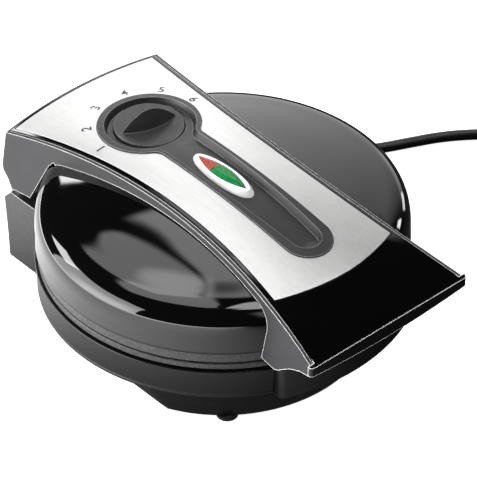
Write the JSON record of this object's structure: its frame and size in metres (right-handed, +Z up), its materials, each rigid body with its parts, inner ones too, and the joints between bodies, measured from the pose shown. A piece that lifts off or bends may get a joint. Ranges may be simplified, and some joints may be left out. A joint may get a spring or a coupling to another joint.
{
  "type": "heart waffle maker",
  "caption": "Round countertop waffle maker with a hinged domed lid, heart-shaped cooking plates, control knob, indicator lenses, front handle and mains lead.",
  "frame": {"origin": "centre of the object's footprint box, without its mains lead, on the surface that it stands on", "axes": "+Z up; -Y towards the handle, +Y towards the hinge; +X to the right as seen from the handle"},
  "size_m": [0.4895, 0.2679, 0.1185],
  "materials": {
    "gloss_shell": "polished black",
    "gloss_frame": "polished black",
    "gloss_block": "polished black",
    "matte_housing": "fine grained dark grey",
    "matte_cover": "fine grained black",
    "satin_insert": "satin charcoal",
    "satin_shell": "satin black",
    "trim_steel": "fine brushed stainless",
    "white_bezel": "white",
    "red_clear": "translucent red",
    "green_clear": "translucent green",
    "lamp_glass": "clear neon tube",
    "board": "laminate board",
    "ceramic_part": "unglazed steatite",
    "bright_steel": "zinc plated",
    "cast_plate": "non-stick coated cast plate",
    "element_steel": "sheathed element",
    "reflector_sheet": "aluminised sheet",
    "wire_sleeve": "glass-fibre sleeve",
    "wire_earth": "earth sleeve",
    "brass_part": "turned brass",
    "black_rubber": "soft rubber",
    "cord_sheath": "smooth black sheath",
    "cord_rubber": "moulded black rubber",
    "tie_plastic": "soft strap"
  },
  "bodies": {
    "base": {"base_ring": "satin_shell", "base_pedestal": "satin_shell", "front_block": "gloss_block", "hinge_block": "matte_housing", "hinge_pins": "bright_steel", "lower_heating_plate": "cast_plate", "plate_seal_ring": "black_rubber", "lower_heating_element": "element_steel", "lower_reflector": "reflector_sheet", "lower_plate_screws": "bright_steel", "terminal_block": "ceramic_part", "terminal_screws": "brass_part", "cord_clamp": "matte_cover", "inner_lead": "cord_sheath", "element_leads": "wire_sleeve", "thermal_fuse": "ceramic_part", "earth_lead": "wire_earth", "rubber_feet": "black_rubber", "strain_relief": "cord_rubber", "power_cord": "cord_sheath", "cord_coil": "cord_sheath", "cord_tail": "cord_sheath", "cord_tie": "tie_plastic", "plug_body": "cord_rubber", "plug_pins": "bright_steel"},
    "lid": {"lid_dome": "gloss_shell", "bridge_housing": "matte_housing", "top_frame": "gloss_frame", "handle_lower_cover": "matte_cover", "steel_trim_plate": "trim_steel", "control_trough": "satin_insert", "indicator_bezel": "white_bezel", "red_lens": "red_clear", "green_lens": "green_clear", "indicator_lamps": "lamp_glass", "lamp_holder": "board", "thermostat_body": "ceramic_part", "thermostat_bracket": "bright_steel", "upper_heating_plate": "cast_plate", "upper_heating_element": "element_steel", "upper_reflector": "reflector_sheet", "upper_plate_screws": "bright_steel", "bridge_screws": "bright_steel", "thermostat_leads": "wire_sleeve"},
    "knob": {"thermostat_knob": "satin_insert", "thermostat_shaft": "bright_steel", "knob_clip": "bright_steel"}
  },
  "joints": [
    {"name": "lid_hinge", "type": "hinge", "parent": "base", "child": "lid", "pos_m": [0, 0.123, 0.0568], "axis": [-1, 0, 0], "range_deg": [0, 100]},
    {"name": "knob_turn", "type": "hinge", "parent": "lid", "child": "knob", "pos_m": [0, 0.0667, 0.105], "axis": [0, 0, 1], "range_deg": [-167, 13]}
  ]
}
